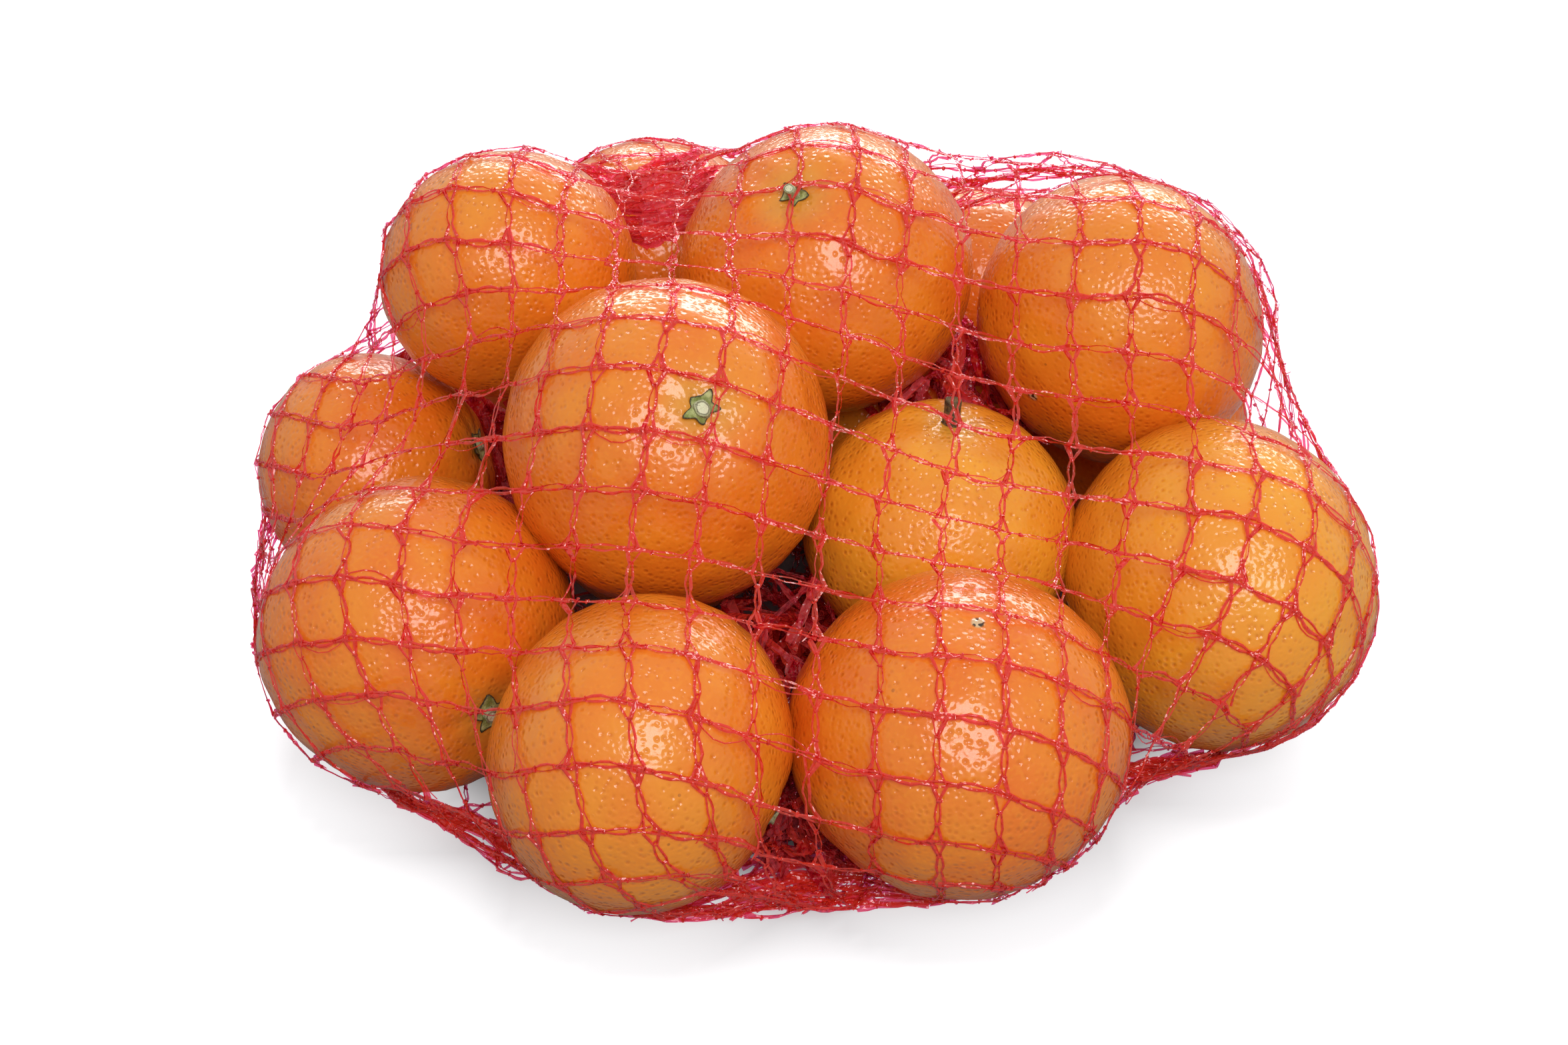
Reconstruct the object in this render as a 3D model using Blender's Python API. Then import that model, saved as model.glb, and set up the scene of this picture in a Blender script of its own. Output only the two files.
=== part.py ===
"""A net of mandarins lying on a table: one closed solid, the taut net skin over the pile.

Blender 4.5, metres, +Z up. +X is the pile's right, -Y its front. The origin is on the table,
under the middle of the solid's box. The skin is worked out from where the mandarins lie: it
starts as a wide shell around the pile and tightens like a stretched net, sliding over each
mandarin and bridging the gaps between them, and the table makes its underside flat.
"""

import math

import bpy
import numpy as np

MM = 0.001

LYING = None    # the height of a mandarin that lies on the table follows from its size

# Each mandarin in millimetres and degrees: centre x, y, z, widest diameter, and the heading
# and climb of its stem end. The first ten are the ones at the front and on top.
MANDARINS = {
    "top_left": (-64, 16, 82, 56, 110, 25),
    "top_middle": (5, 18.5, 82, 64, -128, 64),
    "top_right": (69, 11.5, 72.5, 64, 45, 15),
    "left": (-95, 6, 37, 54.5, -2, 19),
    "front_top": (-28, -34, 68, 68, -72, 43),
    "right_middle": (29, -27, 42.5, 58, 68, 76),
    "right": (87, -38, LYING, 70, 8, 5),
    "front_left": (-79, -54, LYING, 66, -56, -5),
    "front": (-32, -93, LYING, 63, -20, -22),
    "front_right": (30.5, -86.5, LYING, 67, 111, -78),
    "back_top": (-34, 58, 64, 61, 90, 40),
    "back_right": (45, 94, 35, 60, 60, 30),
    "back_left": (-65, 87, LYING, 60, 150, 10),
    "under_left": (-32, 13, LYING, 61, 20, 60),
    "under_middle": (21, 37, LYING, 61, 200, 30),
    "under_right": (77, 47, LYING, 59, 10, 20),
    "back_middle": (-10, 97, LYING, 61, 100, -15),
}
FLATNESS = 0.93          # height of a mandarin over its widest diameter
NET_GAP = 0.9 * MM       # from the peel to the outside of the net

SKIN_MIDDLE = (0, 0, 45 * MM)   # the skin's rings and columns are spread round this point
SKIN_COLUMNS = 90
SKIN_RINGS = 42
LOWEST_RING_CLIMB = -72  # degrees; this ring stays a circle on the table, under the pile
START_RADIUS = 0.19      # of the wide shell that tightens
TIGHTENING_STEPS = 700
SAG_PER_STEP = 0.04 * MM  # what the net's own weight takes a free point down
TABLE_GRIP = 0.25 * MM    # pull that the table holds a point against
TABLE_CONTACT = 2.5 * MM  # skin that ends lower than this lies flat on the table

NET_COLOUR = (0.61, 0.075, 0.03, 1.0)
NET_ROUGHNESS = 0.38


def clear_scene():
    for thing in list(bpy.data.objects):
        bpy.data.objects.remove(thing, do_unlink=True)


def stem_direction(heading, climb):
    """Unit vector towards the stem end, from its heading in the plan and its climb."""
    turn = math.radians(heading)
    rise = math.radians(climb)
    return np.array([math.cos(rise) * math.cos(turn), math.cos(rise) * math.sin(turn), math.sin(rise)])


def mandarin_shapes():
    """Centre, radii matrix and its inverse for each mandarin, a flattened ball along its stem."""
    shapes = []
    for x, y, z, diameter, heading, climb in MANDARINS.values():
        stem = stem_direction(heading, climb)
        wide = diameter / 2 * MM + NET_GAP
        flat = diameter / 2 * FLATNESS * MM + NET_GAP
        stretch = wide * np.eye(3) + (flat - wide) * np.outer(stem, stem)
        height = np.linalg.norm(stretch[2]) if z is LYING else z * MM
        shapes.append((np.array([x * MM, y * MM, height]), stretch, np.linalg.inv(stretch)))
    return shapes


def push_out(points, shapes):
    """Move the points that have sunk into a mandarin or the table back to its surface."""
    for centre, stretch, shrink in shapes:
        scaled = (points - centre) @ shrink
        reach = np.linalg.norm(scaled, axis=1)
        inside = reach < 1.0
        points[inside] = centre + (scaled[inside] / reach[inside, None]) @ stretch
    points[:, 2] = np.maximum(points[:, 2], 0.0)


def wide_shell():
    """Rings of points of a ball round the pile, cut off by the table, from its top downwards."""
    climb = np.radians(np.linspace(90, LOWEST_RING_CLIMB, SKIN_RINGS + 1))[:, None]
    turn = np.linspace(0, 2 * math.pi, SKIN_COLUMNS, endpoint=False)[None, :]
    ball = np.stack([np.cos(climb) * np.cos(turn), np.cos(climb) * np.sin(turn),
                     np.sin(climb) + 0 * turn], axis=2)
    points = np.array(SKIN_MIDDLE) + START_RADIUS * ball
    points[..., 2] = np.maximum(points[..., 2], 0.0)
    return points


def tighten(points, shapes):
    """Each point moves to the mean of its four neighbours and down a little, then out of what it
    has sunk into. A point on the table slides only as far as the pull is more than its grip."""
    for _ in range(TIGHTENING_STEPS):
        free = points[1:-1]
        left = np.roll(free, 1, axis=1)
        right = np.roll(free, -1, axis=1)
        pull = (points[:-2] + points[2:] + left + right) / 4 - free
        length = np.linalg.norm(pull[..., :2], axis=2, keepdims=True)
        slide = np.maximum(length - TABLE_GRIP, 0) / np.maximum(length, TABLE_GRIP)
        pull[..., :2] *= np.where(free[..., 2:] > 0, 1.0, slide)
        pull[..., 2] -= SAG_PER_STEP
        points[1:-1] += pull
        push_out(points.reshape(-1, 3), shapes)
        points[0] = points[1].mean(axis=0)
    return points


def skin_mesh(points):
    """Closed mesh: a fan at the top, quads between the rings, and a fan on the table."""
    count = SKIN_RINGS * SKIN_COLUMNS
    middle = points[-1].mean(axis=0)
    vertices = np.vstack([points[1:].reshape(-1, 3), points[0, :1], middle[None, :]])
    top = count
    bottom = count + 1
    faces = []
    for ring in range(SKIN_RINGS - 1):
        for column in range(SKIN_COLUMNS):
            beside = (column + 1) % SKIN_COLUMNS
            upper = ring * SKIN_COLUMNS
            lower = upper + SKIN_COLUMNS
            faces.append((upper + column, lower + column, lower + beside, upper + beside))
    last = (SKIN_RINGS - 1) * SKIN_COLUMNS
    for column in range(SKIN_COLUMNS):
        beside = (column + 1) % SKIN_COLUMNS
        faces.append((top, column, beside))
        faces.append((bottom, last + beside, last + column))
    mesh = bpy.data.meshes.new("filled_net")
    mesh.from_pydata(vertices.tolist(), [], faces)
    mesh.update()
    mesh.shade_smooth()
    return mesh


def net_material():
    material = bpy.data.materials.new("red_net")
    material.use_nodes = True
    shader = material.node_tree.nodes["Principled BSDF"]
    shader.inputs["Base Color"].default_value = NET_COLOUR
    shader.inputs["Roughness"].default_value = NET_ROUGHNESS
    shader.inputs["Metallic"].default_value = 0.0
    return material


def build_filled_net():
    shapes = mandarin_shapes()
    points = tighten(wide_shell(), shapes)
    lying = points[..., 2] < TABLE_CONTACT
    points[..., 2] = np.where(lying, 0.0, points[..., 2])
    net = bpy.data.objects.new("filled_net", skin_mesh(points))
    net.data.materials.append(net_material())
    bpy.context.collection.objects.link(net)


clear_scene()
build_filled_net()
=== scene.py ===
import math

import bpy
import numpy as np
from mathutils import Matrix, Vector


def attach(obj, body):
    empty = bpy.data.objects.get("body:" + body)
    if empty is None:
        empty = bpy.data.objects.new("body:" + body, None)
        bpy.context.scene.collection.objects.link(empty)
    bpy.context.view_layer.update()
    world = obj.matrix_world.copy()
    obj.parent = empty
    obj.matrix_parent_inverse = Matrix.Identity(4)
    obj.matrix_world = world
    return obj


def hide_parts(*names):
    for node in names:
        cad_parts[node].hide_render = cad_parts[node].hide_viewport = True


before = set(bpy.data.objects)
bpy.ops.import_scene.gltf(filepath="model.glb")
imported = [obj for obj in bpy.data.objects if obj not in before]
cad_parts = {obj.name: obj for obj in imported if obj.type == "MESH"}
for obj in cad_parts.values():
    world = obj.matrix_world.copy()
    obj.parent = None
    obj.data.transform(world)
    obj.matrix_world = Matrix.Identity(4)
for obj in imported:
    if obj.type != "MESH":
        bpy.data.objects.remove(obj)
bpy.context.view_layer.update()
print("frame loaded")

millimetre = 0.001
tiny = 1e-9  # keeps a division by a length from failing


# Putting arrays into meshes.


def addObject(name, data):
    # a new object that holds this mesh, lamp or camera
    thing = bpy.data.objects.new(name, data)
    bpy.context.collection.objects.link(thing)
    return thing


def makePiece(name, slot, material, points, quads, triangles, smooth=True, values=None, uv=None):
    # points are in millimetres; values holds one number a point, by attribute name
    mesh = bpy.data.meshes.new(name)
    corners = np.concatenate([quads.ravel(), triangles.ravel()]).astype(np.int32)
    starts = np.concatenate([np.arange(len(quads)) * 4, len(quads) * 4 + np.arange(len(triangles)) * 3])
    mesh.vertices.add(len(points))
    mesh.vertices.foreach_set("co", (points * millimetre).astype(np.float32).ravel())
    mesh.loops.add(len(corners))
    mesh.loops.foreach_set("vertex_index", corners)
    mesh.polygons.add(len(starts))
    mesh.polygons.foreach_set("loop_start", starts.astype(np.int32))
    mesh.polygons.foreach_set("use_smooth", np.full(len(starts), smooth))
    mesh.update(calc_edges=True)
    for key, numbers in (values or {}).items():
        mesh.attributes.new(key, "FLOAT", "POINT").data.foreach_set("value", numbers.astype(np.float32))
    if uv is not None:
        layer = mesh.uv_layers.new(name="surface")
        layer.data.foreach_set("uv", uv[corners].astype(np.float32).ravel())
    mesh.materials.append(material)
    piece = addObject(name, mesh)
    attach(piece, "root")
    return piece


def closeRings(points):
    # rings of points (ring, column, xyz), each ring closed, with a fan at either end: returns
    # the points with the two end points added, the quads and the triangles
    rings, columns = points.shape[:2]
    column = np.arange(columns)
    beside = (column + 1) % columns
    ring = np.arange(rings - 1)[:, None] * columns
    below = ring + columns
    quads = np.stack([ring + column, below + column, below + beside, ring + beside], axis=-1)
    first = rings * columns
    last = (rings - 1) * columns
    fan = np.stack([np.full(columns, first), column, beside], axis=-1)
    tail = np.stack([np.full(columns, first + 1), last + beside, last + column], axis=-1)
    tips = np.stack([points[0].mean(axis=0), points[-1].mean(axis=0)])
    return np.vstack([points.reshape(-1, 3), tips]), quads.reshape(-1, 4), np.vstack([fan, tail])


def joinSurfaces(surfaces):
    # several (points, quads, triangles) as one
    points, quads, triangles, count = [], [], [], 0
    for part in surfaces:
        points.append(part[0])
        quads.append(part[1] + count)
        triangles.append(part[2] + count)
        count += len(part[0])
    return np.vstack(points), np.vstack(quads), np.vstack(triangles)


def turns(count):
    # angles once round, as a row
    return np.linspace(0, 2 * math.pi, count, endpoint=False)[None, :]


def fromPole(angle, turn):
    # unit directions at an angle from +Z, turned about it
    across = np.sin(angle)
    return np.stack([across * np.cos(turn), across * np.sin(turn), np.cos(angle) + 0 * turn], axis=-1)


def unit(vectors):
    # each vector divided by its own length
    return vectors / np.maximum(np.linalg.norm(vectors, axis=-1, keepdims=True), tiny)


# Shader nodes.


def fillNode(tree, node, values):
    # a socket is linked, and a number or a colour is set
    for key, value in values.items():
        if isinstance(value, bpy.types.NodeSocket):
            tree.links.new(value, node.inputs[key])
        else:
            node.inputs[key].default_value = value
    return node


def addNode(tree, kind, values=None, **settings):
    # settings are the choices on the node, values go to its sockets
    node = tree.nodes.new("ShaderNode" + kind)
    for key, value in settings.items():
        setattr(node, key, value)
    return fillNode(tree, node, values or {})


def mathNode(tree, operation, a, b=0.0, c=0.0):
    # one sum of up to three numbers or sockets
    return addNode(tree, "Math", {0: a, 1: b, 2: c}, operation=operation).outputs[0]


def spread(tree, value, low, high, toLow=0.0, toHigh=1.0, steps="SMOOTHSTEP"):
    # what lies between low and high is spread over toLow to toHigh, and stops at either end
    node = addNode(tree, "MapRange", {"Value": value, "From Min": low, "From Max": high,
                                      "To Min": toLow, "To Max": toHigh}, interpolation_type=steps)
    return node.outputs["Result"]


def mixColours(tree, factor, first, second):
    # first and second are sockets or three numbers
    first, second = [(*colour, 1.0) if isinstance(colour, tuple) else colour for colour in (first, second)]
    return addNode(tree, "Mix", {0: factor, 6: first, 7: second}, data_type="RGBA").outputs[2]


def noise(tree, vector, scale, detail=0.0):
    # soft noise from 0 to 1, scale waves to the metre
    return addNode(tree, "TexNoise", {"Vector": vector, "Scale": scale, "Detail": detail}).outputs["Fac"]


def objectSpot(tree):
    return addNode(tree, "TexCoord").outputs["Object"]


def pointValue(tree, name):
    return addNode(tree, "Attribute", attribute_name=name).outputs["Fac"]


def bumpNormal(tree, height, distance):
    # the normal of a surface raised by height times distance, in metres
    return addNode(tree, "Bump", {"Height": height, "Distance": distance, "Strength": 1.0}).outputs["Normal"]


def startMaterial(name):
    material = bpy.data.materials.new(name)
    material.use_nodes = True
    tree = material.node_tree
    return material, tree, tree.nodes["Principled BSDF"]


def makeSpeckGroup():
    # small dark specks: cells of a fine Voronoi pattern picked by chance, each a dot of its own
    # size round the cell's middle
    group = bpy.data.node_groups.new("specks", "ShaderNodeTree")
    group.interface.new_socket("Vector", in_out="INPUT", socket_type="NodeSocketVector")
    for name in ("Cells", "Size", "Share"):
        group.interface.new_socket(name, in_out="INPUT", socket_type="NodeSocketFloat")
    group.interface.new_socket("Mask", in_out="OUTPUT", socket_type="NodeSocketFloat")
    given = group.nodes.new("NodeGroupInput").outputs
    result = group.nodes.new("NodeGroupOutput")
    cells = addNode(group, "TexVoronoi", {"Vector": given["Vector"], "Scale": given["Cells"]})
    chance = addNode(group, "SeparateColor", {"Color": cells.outputs["Color"]})
    picked = mathNode(group, "LESS_THAN", chance.outputs[0], given["Share"])
    reach = mathNode(group, "MULTIPLY", given["Size"], chance.outputs[1])
    near = mathNode(group, "DIVIDE", cells.outputs["Distance"], reach)
    dot = spread(group, near, 0.6, 1.1, 1.0, 0.0)
    group.links.new(mathNode(group, "MULTIPLY", picked, dot), result.inputs["Mask"])
    return group


speckGroup = makeSpeckGroup()


def specks(tree, vector, cells, size, share):
    node = addNode(tree, "Group", node_tree=speckGroup)
    fillNode(tree, node, {"Vector": vector, "Cells": cells, "Size": size, "Share": share})
    return node.outputs["Mask"]


# The mandarins.


def mandarin(place, size, stem, yellow, calyx=3.2, stalk=(1.6, 1.2)):
    # place: centre; a height of None means that it lies on the table. size: widest diameter.
    # stem: heading and climb of the stem end, in degrees. yellow: how far the peel is to yellow.
    # calyx: radius of the green star. stalk: radius and height of the cut stalk.
    return dict(place=place, size=size, stem=stem, yellow=yellow, calyx=calyx, stalk=stalk)


mandarins = dict(
    topLeft=mandarin((-64, 16, 82), 56, (110, 25), 0.25, 3.0, (1.5, 1.2)),
    topMiddle=mandarin((5, 18.5, 82), 64, (-116, 57), 0.15, 3.0, (1.25, 2.6)),
    topRight=mandarin((69, 11.5, 72.5), 64, (45, 15), 0.3, 3.0, (1.5, 1.2)),
    left=mandarin((-95, 6, 37), 54.5, (-2, 19), 0.1, 4.2, (1.3, 1.0)),
    frontTop=mandarin((-28, -34, 68), 68, (-70, 41), 0.2, 3.6, (1.75, 1.0)),
    rightMiddle=mandarin((29, -27, 42.5), 58, (0, 86), 0.85, 2.0, (1.7, 4.9)),
    right=mandarin((87, -38, None), 70, (8, 5), 0.75),
    frontLeft=mandarin((-79, -54, None), 66, (-56, -5), 0.15, 4.2),
    front=mandarin((-32, -93, None), 63, (-13, -22), 0.3, 2.8),
    frontRight=mandarin((30.5, -86.5, None), 67, (111, -78), 0.1),
    backTop=mandarin((-34, 58, 64), 61, (90, 40), 0.2),
    backRight=mandarin((45, 94, 35), 60, (60, 30), 0.3, 3.0, (1.5, 1.2)),
    backLeft=mandarin((-65, 87, None), 60, (150, 10), 0.1),
    underLeft=mandarin((-32, 13, None), 61, (20, 60), 0.2),
    underMiddle=mandarin((21, 37, None), 61, (200, 30), 0.4),
    underRight=mandarin((77, 47, None), 59, (10, 20), 0.1),
    backMiddle=mandarin((-10, 97, None), 61, (100, -15), 0.5),
)

# depths are parts of the fruit's radius; a pair is a depth and its width, in radians
peelShape = dict(
    flatness=0.93,  # height over widest diameter
    netUnder=0.9,  # what the net lifts a fruit off the table
    rings=56,
    columns=84,
    farthest=0.53,  # no part of the peel is farther out than this part of the size
    firstSeed=300,
    angles=24,  # chance angles drawn for each fruit
    lumps=7,  # broad waves through the fruit
    lumpPace=1.7,  # how close together they are
    lumpDepth=0.013,
    ripples=12,  # finer waves
    ripplePace=13.0,
    rippleDepth=0.0015,
    stemHollow=(0.045, 0.2),
    stemShoulder=(0.014, 0.2),
    shoulderPlace=0.42,  # radians from the stem end
    furrows=(6, 10),  # the short grooves round the stem end: how many
    furrowDepth=(0.012, 0.3),
    furrowBend=0.8,
    blossomHollow=(0.022, 0.2),
)

peelLook = dict(
    orange=(0.78, 0.172, 0.009),
    golden=(0.86, 0.36, 0.022),
    gland=(0.58, 0.11, 0.004),
    mottling=(0.86, 0.28, 0.015),
    atStem=(0.62, 0.36, 0.05),
    speck=(0.20, 0.06, 0.012),
    scar=(0.62, 0.44, 0.24),
    scarDot=(0.03, 0.02, 0.01),
    glands=700.0,  # how fine the oil glands are
    glandDepth=0.23,
    waveDepth=0.40,
    mottleDepth=0.13,
    scarHeight=0.2,
    roughness=0.5,  # of the flesh under the gloss
    specular=0.15,
    gloss=0.9,
    glossRoughness=0.17,
    glossIor=1.55,
    softness=0.45,  # how far the flesh under the gloss follows the pits
)


def stemFrame(heading, climb):
    # columns: two directions across the fruit and the direction of its stem end
    turn, rise = math.radians(heading), math.radians(climb)
    stem = np.array([math.cos(rise) * math.cos(turn), math.cos(rise) * math.sin(turn), math.sin(rise)])
    aside = np.cross(stem, (0.3, 0.2, 1.0) if abs(stem[2]) < 0.9 else (1.0, 0.1, 0.0))
    aside /= np.linalg.norm(aside)
    return np.stack([aside, np.cross(stem, aside), stem], axis=1)


def settleMandarins():
    # works out each fruit's axes, radii, resting height and its own chance numbers
    lumps, ripples = peelShape["lumps"], peelShape["ripples"]
    for number, one in enumerate(mandarins.values()):
        chance = np.random.default_rng(peelShape["firstSeed"] + number)
        one["axes"] = stemFrame(*one["stem"])
        wide = one["size"] / 2
        one["radii"] = np.array([wide, wide, wide * peelShape["flatness"]])
        lift = one["radii"] + peelShape["netUnder"]
        x, y, z = one["place"]
        lying = np.linalg.norm(one["axes"][2] * lift)
        one["centre"] = np.array([x, y, lying if z is None else z], dtype=float)
        one["lumps"] = chance.normal(size=(lumps, 3)) * peelShape["lumpPace"]
        one["ripples"] = chance.normal(size=(ripples, 3)) * peelShape["ripplePace"]
        phases = chance.uniform(0, 2 * math.pi, peelShape["angles"])
        one["lumpPhases"], one["ripplePhases"] = phases[:lumps], phases[lumps:lumps + ripples]
        one["furrowPhase"] = phases[lumps + ripples]
        one["furrows"] = int(chance.integers(*peelShape["furrows"]))


def swell(size, away):
    # a rounded swelling: its height, times a bell curve of the distance over its width
    return size[0] * np.exp(-(away / size[1]) ** 2)


def peelReach(one, way):
    # how far the peel lies out along the unit directions way, in the fruit's own axes, as a part
    # of its radius: one, plus broad cosine waves through space, finer ones, a hollow with a
    # shoulder and short grooves at the stem end, and a shallow hollow at the blossom end
    lumps = np.cos(way @ one["lumps"].T + one["lumpPhases"]).sum(axis=-1) / 3
    ripples = np.cos(way @ one["ripples"].T + one["ripplePhases"]).sum(axis=-1)
    fromStem = np.arccos(np.clip(way[..., 2], -1, 1))
    turn = np.arctan2(way[..., 1], way[..., 0])
    bent = one["furrows"] * turn + one["furrowPhase"] + peelShape["furrowBend"] * np.sin(2 * turn)
    furrowDepth, furrowWidth = peelShape["furrowDepth"]
    nearStem = (fromStem / furrowWidth) ** 2 * np.exp(1 - (fromStem / furrowWidth) ** 2)
    return (
        1
        + peelShape["lumpDepth"] * lumps
        + peelShape["rippleDepth"] * ripples
        - swell(peelShape["stemHollow"], fromStem)
        + swell(peelShape["stemShoulder"], fromStem - peelShape["shoulderPlace"])
        - furrowDepth * (0.5 + 0.5 * np.cos(bent)) * nearStem
        - swell(peelShape["blossomHollow"], math.pi - fromStem)
    )


def peelPoint(one, way, out=0.0):
    # the points of the peel along way, moved out by out, in the scene's axes
    local = way * one["radii"] * (peelReach(one, way) + out / one["size"] * 2)[..., None]
    return one["centre"] + local @ one["axes"].T


def pushOffPeel(points, gap):
    # moves points that are inside a fruit, or nearer to it than gap, straight out to gap
    for one in mandarins.values():
        away = points - one["centre"]
        farthest = one["size"] * peelShape["farthest"] + gap
        near = np.flatnonzero((away ** 2).sum(axis=1) < farthest ** 2)
        scaled = (away[near] @ one["axes"]) / one["radii"]
        reach = np.linalg.norm(scaled, axis=1)
        way = scaled / np.maximum(reach, 1e-6)[:, None]
        limit = peelReach(one, way) + gap / one["size"] * 2
        sunk = reach < limit
        moved = (way[sunk] * limit[sunk, None] * one["radii"]) @ one["axes"].T
        points[near[sunk]] = one["centre"] + moved
    return points


def makePeelMaterial():
    # orange to golden by the fruit and by broad patches; darker in the pores of the oil glands,
    # lighter in a fine mottle, yellower round the stem end; specks in patches, a scar at the
    # blossom end
    material, tree, shader = startMaterial("peel")
    spot = objectSpot(tree)
    fromStem = pointValue(tree, "fromStem")
    yellow = pointValue(tree, "yellow")
    # oil glands: a pit in each cell of a Voronoi pattern, each with its own depth
    glands = addNode(tree, "TexVoronoi", {"Vector": spot, "Scale": peelLook["glands"]})
    deepness = addNode(tree, "SeparateColor", {"Color": glands.outputs["Color"]}).outputs[0]
    pit = spread(tree, glands.outputs["Distance"], 0.0, 0.58, 1.0, 0.0)
    pit = mathNode(tree, "MULTIPLY", pit, mathNode(tree, "MULTIPLY_ADD", deepness, 0.9, 0.45))
    pore = spread(tree, glands.outputs["Distance"], 0.12, 0.38, 1.0, 0.0)
    patches = noise(tree, spot, 70.0, 1.0)
    mottle = noise(tree, spot, 1000.0)
    ripe = mathNode(tree, "ADD", yellow, spread(tree, patches, 0.35, 0.7, -0.12, 0.16))
    colour = mixColours(tree, ripe, peelLook["orange"], peelLook["golden"])
    deep = mathNode(tree, "MULTIPLY", pore, mathNode(tree, "MULTIPLY_ADD", deepness, 0.20, 0.24))
    colour = mixColours(tree, deep, colour, peelLook["gland"])
    colour = mixColours(tree, spread(tree, mottle, 0.5, 0.75, 0.0, 0.25), colour, peelLook["mottling"])
    colour = mixColours(tree, spread(tree, fromStem, 0.03, 0.11, 0.45, 0.0), colour, peelLook["atStem"])
    inPatches = spread(tree, patches, 0.54, 0.68)
    dots = mathNode(tree, "MULTIPLY", specks(tree, spot, 430.0, 0.20, 0.16), inPatches)
    colour = mixColours(tree, mathNode(tree, "MULTIPLY", dots, 0.7), colour, peelLook["speck"])
    scar = spread(tree, fromStem, 0.984, 0.991)
    scarColour = mixColours(tree, spread(tree, mottle, 0.5, 0.56), peelLook["scar"], peelLook["scarDot"])
    colour = mixColours(tree, scar, colour, scarColour)
    waves = noise(tree, spot, 170.0)
    height = mathNode(tree, "MULTIPLY", pit, -peelLook["glandDepth"])
    height = mathNode(tree, "MULTIPLY_ADD", mottle, peelLook["mottleDepth"], height)
    height = mathNode(tree, "MULTIPLY_ADD", waves, peelLook["waveDepth"], height)
    height = mathNode(tree, "MULTIPLY_ADD", scar, peelLook["scarHeight"], height)
    pitted = bumpNormal(tree, height, 0.001)
    smooth = addNode(tree, "NewGeometry").outputs["Normal"]
    soft = addNode(tree, "Mix", {0: peelLook["softness"], 4: smooth, 5: pitted}, data_type="VECTOR")
    fillNode(tree, shader, {
        "Base Color": colour,
        "Roughness": peelLook["roughness"],
        "Specular IOR Level": peelLook["specular"],
        "Coat Weight": peelLook["gloss"],
        "Coat IOR": peelLook["glossIor"],
        "Coat Roughness": peelLook["glossRoughness"],
        "Normal": soft.outputs[1],
        "Coat Normal": pitted,
    })
    return material


def makeMandarins():
    # each fruit is a grid of rings from its stem end to its blossom end, closed by the two poles
    material = makePeelMaterial()
    columns = peelShape["columns"]
    climb = np.linspace(0, math.pi, peelShape["rings"] + 2)[1:-1, None]
    way = fromPole(climb, turns(columns))
    fromStem = np.concatenate([np.repeat(climb[:, 0] / math.pi, columns), [0.0, 1.0]])
    poles = np.array([[0.0, 0.0, 1.0], [0.0, 0.0, -1.0]])
    for name, one in mandarins.items():
        points, quads, triangles = closeRings(peelPoint(one, way))
        points[-2:] = peelPoint(one, poles)
        values = {"fromStem": fromStem, "yellow": np.full(len(points), one["yellow"])}
        makePiece(name + "Mandarin", "peel", material, points, quads, triangles, values=values)


settleMandarins()
makeMandarins()
print("mandarins made")


# Stem ends: a small green star on the peel and the cut stalk in its middle.

stemEnds = dict(
    seed=21,
    lobes=5,
    starRings=9,
    starColumns=60,
    starThickness=0.45,
    starLift=0.10,  # off the peel
    starCurl=0.45,  # how far the points curl up
    starReach=(0.64, 0.40),  # of the calyx radius: between the points, and how much more at them
    starWaves=(0.16, 0.07),  # slow and quick waves of the outline
    green=((0.20, 0.23, 0.045), (0.48, 0.50, 0.20)),
    dryGreen=(0.12, 0.07, 0.02),
    starRim=(0.045, 0.035, 0.015),
    brownStalks=("rightMiddle",),
    stalkColumns=24,
    stalkFoot=0.35,  # off the peel
    stalkLean=0.16,  # aside for each millimetre up
    # from the foot to the middle of the cut: part of the radius, part of the height
    stalkProfile=(
        (1.35, -0.5), (1.15, 0.0), (1.0, 0.25), (0.95, 0.5), (0.97, 0.75), (1.0, 0.92),
        (0.95, 1.0), (0.80, 1.02), (0.60, 0.98), (0.35, 0.97), (0.12, 0.97),
    ),
    cutShare=(0, 0, 0, 0, 0, 0, 0.15, 0.35, 0.55, 0.8, 0.95),
    freshStalk=((0.26, 0.27, 0.11), (0.46, 0.46, 0.26)),
    oldStalk=((0.050, 0.026, 0.009), (0.20, 0.13, 0.045)),
    cutMiddle=(0.72, 0.70, 0.46),
    cutLine=(0.10, 0.085, 0.04),
    dryStalk=(0.08, 0.05, 0.02),
)


def starSurface(one, chance):
    # a disc whose radius runs out into points; its upper side lies just off the peel and curls up
    # at the points, its lower side follows the peel; rings run from the middle out and back
    rings = stemEnds["starRings"]
    turn = turns(stemEnds["starColumns"])
    phase = chance.uniform(0, 2 * math.pi)
    point = 1 - np.abs(np.sin(stemEnds["lobes"] / 2 * turn + phase))
    slow, quick = stemEnds["starWaves"]
    uneven = 1 + slow * np.cos(2 * turn + phase * 3) + quick * np.cos(7 * turn + phase)
    between, more = stemEnds["starReach"]
    edge = one["calyx"] * (between + more * point) * uneven
    share = np.linspace(0.08, 1, rings)[:, None]
    share = np.concatenate([share, share[::-1]])
    upper = np.repeat([1.0, 0.0], rings)[:, None]
    way = fromPole(edge * share / one["radii"][2], turn)
    curl = stemEnds["starCurl"] * share ** 3 * (0.6 + 0.9 * np.cos(3 * turn + phase * 2))
    out = stemEnds["starLift"] + curl + upper * stemEnds["starThickness"] * (1.1 - 0.6 * share)
    return peelPoint(one, way, out), share ** 3 + 0 * turn


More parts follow.
